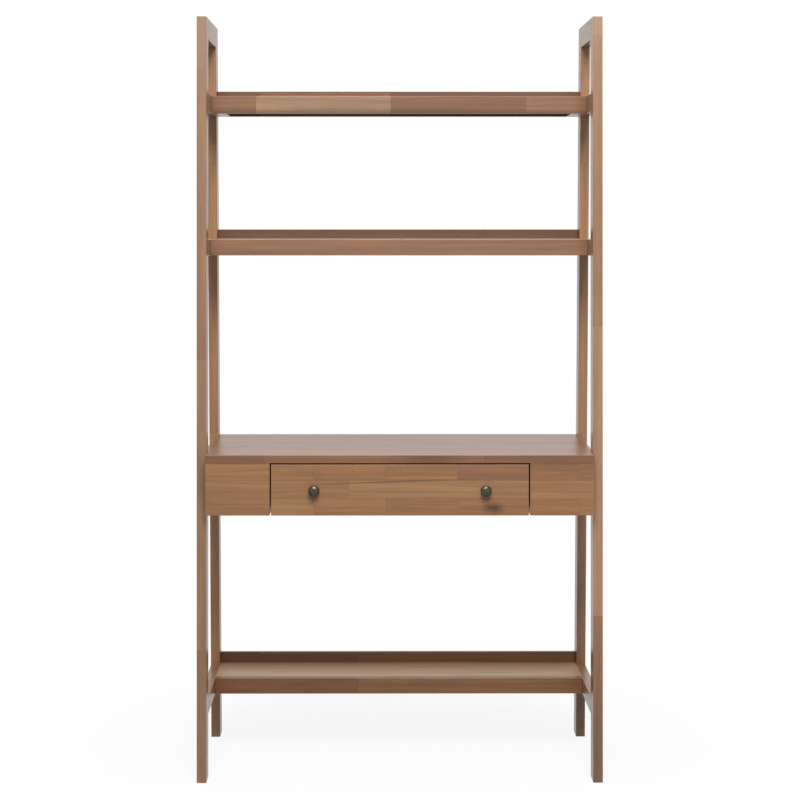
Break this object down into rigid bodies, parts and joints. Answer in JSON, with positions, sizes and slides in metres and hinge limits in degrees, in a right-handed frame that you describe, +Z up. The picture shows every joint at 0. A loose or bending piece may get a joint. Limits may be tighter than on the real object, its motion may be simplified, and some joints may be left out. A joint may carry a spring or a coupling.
{
  "type": "wall desk",
  "caption": "Free-standing ladder-style wall desk in wood: raked front posts, lipped shelves above and below, and a thin writing top over a wide drawer with round knobs.",
  "frame": {"origin": "on the floor, below the middle of the outline", "axes": "+Z up, front towards -Y, wall behind at +Y, +X to the right when seen from the front"},
  "size_m": [0.965, 0.4569, 1.818],
  "materials": {
    "lacquered_wood": "satin lacquer over laminated brown hardwood",
    "inner_wood": "sanded, thin lacquer",
    "drawer_ply": "plain plywood",
    "dowel_wood": "plain beech",
    "knob_metal": "dark pewter, softly polished",
    "screw_steel": "zinc plated",
    "glide_plastic": "moulded, matte"
  },
  "bodies": {
    "desk_frame": {"back_apron": "inner_wood", "desk_screws": "screw_steel", "desk_top": "lacquered_wood", "foot_glides": "glide_plastic", "left_desk_end_board": "lacquered_wood", "left_desk_rail": "lacquered_wood", "left_drawer_partition": "inner_wood", "left_drawer_runner": "inner_wood", "left_frame_dowels": "dowel_wood", "left_front_apron": "lacquered_wood", "left_front_post": "lacquered_wood", "left_lower_rail": "lacquered_wood", "left_middle_shelf_rail": "lacquered_wood", "left_rear_post": "lacquered_wood", "left_top_rail": "lacquered_wood", "left_upper_shelf_rail": "lacquered_wood", "lower_shelf_back_rail": "lacquered_wood", "lower_shelf_front_rail": "lacquered_wood", "lower_shelf_left_cleat": "lacquered_wood", "lower_shelf_panel": "lacquered_wood", "lower_shelf_right_cleat": "lacquered_wood", "middle_shelf_back_rail": "lacquered_wood", "middle_shelf_front_rail": "lacquered_wood", "middle_shelf_left_cleat": "lacquered_wood", "middle_shelf_panel": "lacquered_wood", "middle_shelf_right_cleat": "lacquered_wood", "right_desk_end_board": "lacquered_wood", "right_desk_rail": "lacquered_wood", "right_drawer_partition": "inner_wood", "right_drawer_runner": "inner_wood", "right_frame_dowels": "dowel_wood", "right_front_apron": "lacquered_wood", "right_front_post": "lacquered_wood", "right_lower_rail": "lacquered_wood", "right_middle_shelf_rail": "lacquered_wood", "right_rear_post": "lacquered_wood", "right_top_rail": "lacquered_wood", "right_upper_shelf_rail": "lacquered_wood", "runner_screws": "screw_steel", "shelf_screws": "screw_steel", "upper_shelf_back_rail": "lacquered_wood", "upper_shelf_front_rail": "lacquered_wood", "upper_shelf_left_cleat": "lacquered_wood", "upper_shelf_panel": "lacquered_wood", "upper_shelf_right_cleat": "lacquered_wood"},
    "drawer": {"drawer_back": "inner_wood", "drawer_bottom": "drawer_ply", "drawer_front": "lacquered_wood", "drawer_left_side": "inner_wood", "drawer_right_side": "inner_wood", "knob_screws": "screw_steel", "left_knob": "knob_metal", "right_knob": "knob_metal"}
  },
  "joints": [
    {"name": "drawer_slide", "type": "slide", "parent": "desk_frame", "child": "drawer", "axis": [0, -1, 0], "range_m": [0, 0.25]}
  ]
}
